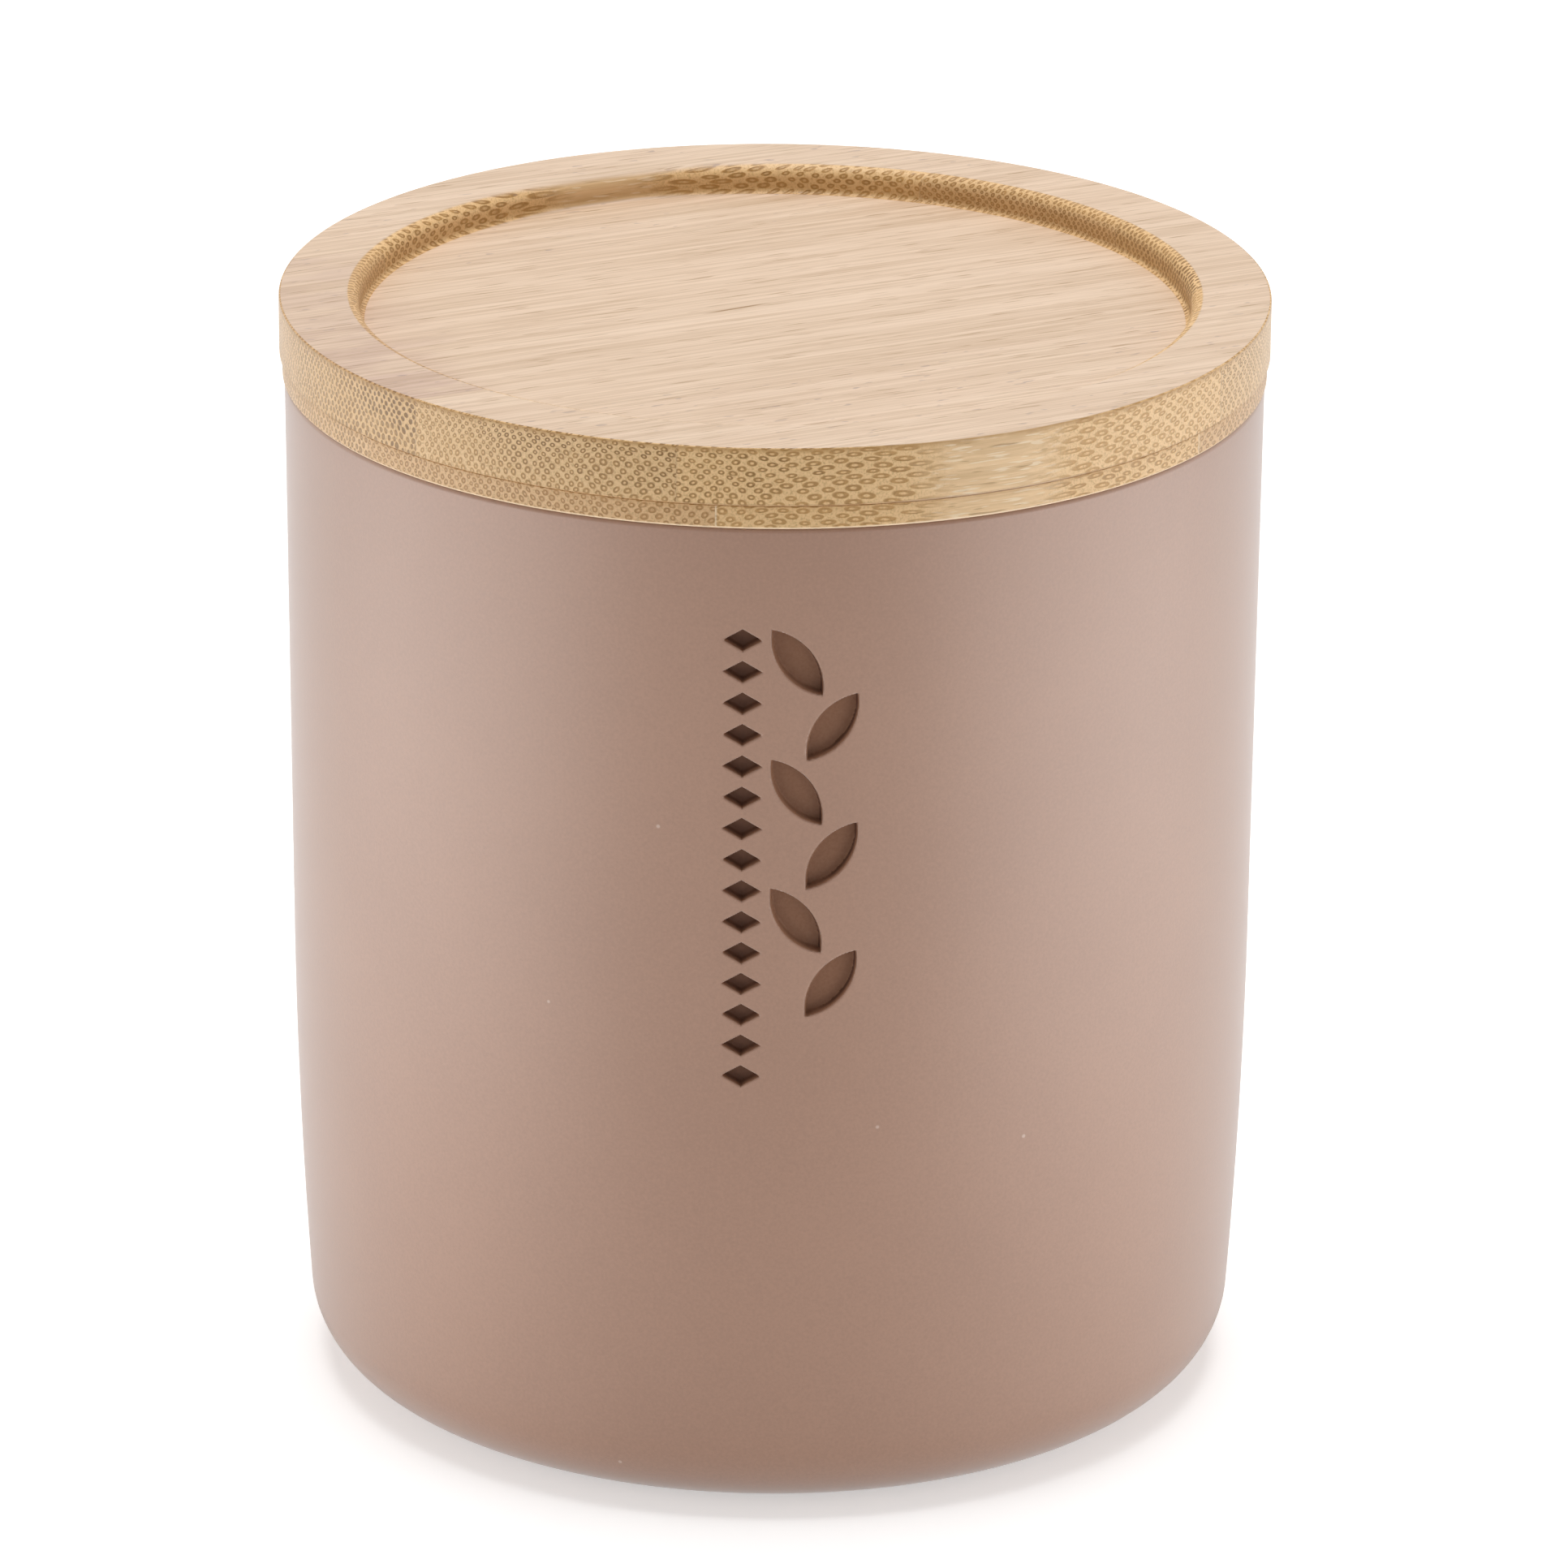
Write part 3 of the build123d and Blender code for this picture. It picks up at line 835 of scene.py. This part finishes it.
class PADBOX_OT_pot(bpy.types.Operator):
    """Turn the pot and press the ornament into its front"""

    bl_idname = "padbox.pot"
    bl_label = "Pot"

    def execute(self, context):
        pot, ornament = context.scene.padbox_pot, context.scene.padbox_ornament
        rim, rounding = POT_HIGH.z, pot.rim_rounding
        mouth = side_radius(pot, pot.wall, rim)
        top, bottom = press_limits(pot, ornament)
        heights = [top - n * (top - bottom) / pot.press_rows for n in range(pot.press_rows)]
        rings = side_outline(pot, pot.wall, POT_LOW.z + pot.floor_thickness, pot.cavity_rounding)[::-1]
        rings += arc((mouth + rounding, rim - rounding), rounding, pi, pi / 2, RIM_STEPS)
        rings += arc((RIM_RADIUS - rounding, rim - rounding), rounding, pi / 2, 0, RIM_STEPS)
        rings += [(side_radius(pot, 0.0, z), z) for z in heights]
        rings += side_outline(pot, 0.0, POT_LOW.z, pot.foot_rounding)
        rings += [(pot.recess_radius, POT_LOW.z), (pot.recess_radius, POT_LOW.z + pot.recess_depth)]
        shell = turned("pot_shell", rings, pot.steps)
        press_ornament(shell, pot, ornament)
        finish_piece(shell, "pot", "pot", cast_material(pot, ornament), pot.sharp_angle)
        return {"FINISHED"}


def strip_lines(radius, first, last, strips):
    """The lines between a board's strips, and one beyond each end."""
    width = (2 * radius - first - last) / (strips - 2)
    return [-2 * radius] + [first - radius + n * width for n in range(strips - 1)] + [2 * radius]


def cut_strip(board, name, low, high, grain_angle):
    """A copy of a turned board, cut down to what lies between two lines along the grain."""
    strip = board.copy()
    strip.data = board.data.copy()
    strip.name = strip.data.name = name
    bpy.context.scene.collection.objects.link(strip)
    make_active(strip)
    across = Vector((-sin(grain_angle), cos(grain_angle), 0))
    bpy.ops.object.mode_set(mode="EDIT")
    for line, direction in ((low, -1), (high, 1)):
        bpy.ops.mesh.select_all(action="SELECT")
        bpy.ops.mesh.bisect(
            plane_co=across * line, plane_no=across * direction, use_fill=True, clear_outer=True
        )
        bpy.ops.mesh.mark_sharp()
    bpy.ops.object.mode_set(mode="OBJECT")
    return strip


def part_board(context, board, layer, nodes, lines, levels, looks, first_number):
    """Parts a turned board into its strips, gives each its bamboo and puts it in its node's place."""
    lid, look = context.scene.padbox_lid, context.scene.padbox_bamboo
    levels = tuple(level / MM for level in levels)
    for n, (node, vary) in enumerate(zip(nodes, looks)):
        strip = cut_strip(board, f"{layer}_strip_{n + 1}", lines[n], lines[n + 1], lid.grain_angle)
        edges = (lines[n] / MM, lines[n + 1] / MM)
        name = f"bamboo_{layer}_{n + 1}"
        bamboo = bamboo_material(name, look, lid, first_number + n, edges, levels, vary)
        finish_piece(strip, node, "lid", bamboo, lid.sharp_angle)
    bpy.data.objects.remove(board)


class PADBOX_OT_lid_top(bpy.types.Operator):
    """Turn the lid's upper board and part it into its bamboo strips"""

    bl_idname = "padbox.lid_top"
    bl_label = "Lid, upper board"

    def execute(self, context):
        lid = context.scene.padbox_lid
        tray_radius, tray_floor = LID_RADIUS - lid.tray_wall, LID_TOP - lid.tray_depth
        corner, lip, edge = lid.tray_corner, lid.tray_lip, lid.edge_rounding
        rings = arc((tray_radius - corner, tray_floor + corner), corner, -pi / 2, 0, RIM_STEPS)
        rings += arc((tray_radius + lip, LID_TOP - lip), lip, pi, pi / 2, LIP_STEPS)
        rings += arc((LID_RADIUS - edge, LID_TOP - edge), edge, pi / 2, 0, EDGE_STEPS)
        rings += [(LID_RADIUS, SEAM + lid.seam_bevel), (LID_RADIUS - lid.seam_bevel, SEAM)]
        board = turned("upper_board", rings, lid.steps)
        lines = strip_lines(LID_RADIUS, lid.top_first, lid.top_last, len(TOP_STRIPS))
        looks = [TOP_BOARD | vary for vary in TOP_LOOKS]
        part_board(context, board, "upper", TOP_STRIPS, lines, (SEAM, LID_TOP), looks, 1)
        return {"FINISHED"}


class PADBOX_OT_lid_base(bpy.types.Operator):
    """Turn the lid's lower board with its plug and part it into its bamboo strips"""

    bl_idname = "padbox.lid_base"
    bl_label = "Lid, lower board"

    def execute(self, context):
        lid = context.scene.padbox_lid
        rim = POT_HIGH.z
        plug_radius = RIM_RADIUS - context.scene.padbox_pot.wall - lid.plug_gap
        seal_low, seal_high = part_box("lid_seal")
        groove_radius = plug_radius - lid.groove_depth
        groove_low, groove_high = seal_low.z - lid.groove_gap, seal_high.z + lid.groove_gap
        rings = [
            (BASE_RADIUS - lid.seam_bevel, SEAM),
            (BASE_RADIUS, SEAM - lid.seam_bevel),
            (BASE_RADIUS, rim + lid.lower_bevel),
            (BASE_RADIUS - lid.lower_bevel, rim),
            (plug_radius, rim),
            (plug_radius, groove_high),
            (groove_radius, groove_high),
            (groove_radius, groove_low),
            (plug_radius, groove_low),
            (plug_radius, PLUG_BOTTOM + lid.plug_bevel),
            (plug_radius - lid.plug_bevel, PLUG_BOTTOM),
        ]
        board = turned("lower_board", rings, lid.steps)
        lines = strip_lines(BASE_RADIUS, lid.base_first, lid.base_last, len(BASE_STRIPS))
        looks = [BASE_BOARD | vary for vary in BASE_LOOKS]
        part_board(context, board, "lower", BASE_STRIPS, lines, (rim, SEAM), looks, 1 + len(TOP_STRIPS))
        return {"FINISHED"}


class PADBOX_OT_seal(bpy.types.Operator):
    """Give the lid's seal its silicone"""

    bl_idname = "padbox.seal"
    bl_label = "Seal"

    def execute(self, context):
        dress_node("lid_seal", silicone_material(context.scene.padbox_soft))
        return {"FINISHED"}


class PADBOX_OT_base_pad(bpy.types.Operator):
    """Give the pad under the foot its foam"""

    bl_idname = "padbox.base_pad"
    bl_label = "Base pad"

    def execute(self, context):
        dress_node("base_pad", foam_material(context.scene.padbox_soft))
        return {"FINISHED"}


class PADBOX_OT_stage(bpy.types.Operator):
    """Set the camera, the lamps, the pale floor and the even light from all round"""

    bl_idname = "padbox.stage"
    bl_label = "Stage"

    def lamp(self, name, place, size, power):
        """A soft rectangular lamp, turned towards the box."""
        bpy.ops.object.light_add(type="AREA", location=place)
        lamp = bpy.context.object
        lamp.name = name
        lamp.data.shape = "RECTANGLE"
        lamp.data.size, lamp.data.size_y = size
        lamp.data.energy = power
        lamp.visible_camera = False
        lamp.rotation_euler = (Vector(LAMP_AIM) - Vector(place)).to_track_quat("-Z", "Y").to_euler()

    def execute(self, context):
        stage = context.scene.padbox_stage
        target = Vector((stage.target_x, 0, stage.target_z))
        back = Vector((0, -cos(stage.elevation), sin(stage.elevation)))
        bpy.ops.object.camera_add(location=target + back * stage.distance)
        camera = bpy.context.object
        camera.rotation_mode = "ZYX"
        camera.rotation_euler = Euler((pi / 2 - stage.elevation, 0, stage.roll), "ZYX")
        camera.data.sensor_width = SENSOR_WIDTH
        camera.data.lens = stage.lens
        camera.data.clip_start, camera.data.clip_end = CAMERA_REACH
        context.scene.camera = camera

        for name, (place, size, power) in LAMPS.items():
            self.lamp(name, place, size, getattr(stage, power))

        bpy.ops.mesh.primitive_plane_add(size=stage.floor_size, location=(0, 0, -stage.floor_gap))
        floor = bpy.context.object
        floor.name = "floor"
        material, graph, shader = new_material("pale_floor")
        place = graph.node("ShaderNodeTexCoord").outputs["Object"]
        pale = graph.blend(graph.noise(place, 3.0), opaque(stage.floor), opaque(stage.floor_pale))
        feed(graph, shader, Base_Color=pale, Roughness=0.9)

        # The lamps light the floor less further out, so its own glow rises there, from 0.3 m to 0.8 m out
        far = graph.smooth(graph.vector_math("LENGTH", place), 0.3, 0.8)
        glow = graph.math("MULTIPLY_ADD", far, stage.far_glow - stage.near_glow, stage.near_glow)
        glow = graph.product(glow, background_rays(graph))
        feed(graph, shader, Emission_Color=(1, 1, 1, 1), Emission_Strength=glow)
        floor.data.materials.append(material)

        world = bpy.data.worlds.new("studio")
        world.use_nodes = True
        context.scene.world = world
        graph = Graph(world.node_tree)
        world.node_tree.nodes.clear()
        strength = graph.math("MULTIPLY_ADD", background_rays(graph), 1.0 - stage.sky, stage.sky)
        background = graph.node("ShaderNodeBackground", {"Color": (1, 1, 1, 1), "Strength": strength})
        graph.node("ShaderNodeOutputWorld", {"Surface": background.outputs[0]})
        context.scene.view_settings.view_transform = "Standard"
        return {"FINISHED"}


class PADBOX_PT_panel(bpy.types.Panel):
    """Lists the box's pieces and their settings"""

    bl_idname = "PADBOX_PT_panel"
    bl_label = "Cotton pad box"
    bl_space_type = "VIEW_3D"
    bl_region_type = "UI"
    bl_category = "Pad Box"

    def draw(self, context):
        for operator in OPERATORS:
            self.layout.operator(operator.bl_idname)
        for name in SETTINGS:
            box = self.layout.box()
            group = getattr(context.scene, name)
            for setting in group.bl_rna.properties:
                if setting.identifier not in ("rna_type", "name"):
                    box.prop(group, setting.identifier)


OPERATORS = (
    PADBOX_OT_stage,
    PADBOX_OT_pot,
    PADBOX_OT_lid_top,
    PADBOX_OT_lid_base,
    PADBOX_OT_seal,
    PADBOX_OT_base_pad,
)
SETTINGS = {
    "padbox_pot": PotSettings,
    "padbox_ornament": OrnamentSettings,
    "padbox_lid": LidSettings,
    "padbox_bamboo": BambooSettings,
    "padbox_soft": SoftSettings,
    "padbox_stage": StageSettings,
}


def register():
    for group in SETTINGS.values():
        bpy.utils.register_class(group)
    for operator in OPERATORS:
        bpy.utils.register_class(operator)
    bpy.utils.register_class(PADBOX_PT_panel)
    for name, group in SETTINGS.items():
        setattr(bpy.types.Scene, name, PointerProperty(type=group))


def unregister():
    for name in SETTINGS:
        delattr(bpy.types.Scene, name)
    bpy.utils.unregister_class(PADBOX_PT_panel)
    for operator in reversed(OPERATORS):
        bpy.utils.unregister_class(operator)
    for group in reversed(SETTINGS.values()):
        bpy.utils.unregister_class(group)


def main():
    register()
    bpy.ops.padbox.stage()
    bpy.ops.padbox.pot()
    bpy.ops.padbox.lid_top()
    bpy.ops.padbox.lid_base()
    bpy.ops.padbox.seal()
    bpy.ops.padbox.base_pad()


if __name__ == "__main__":
    main()
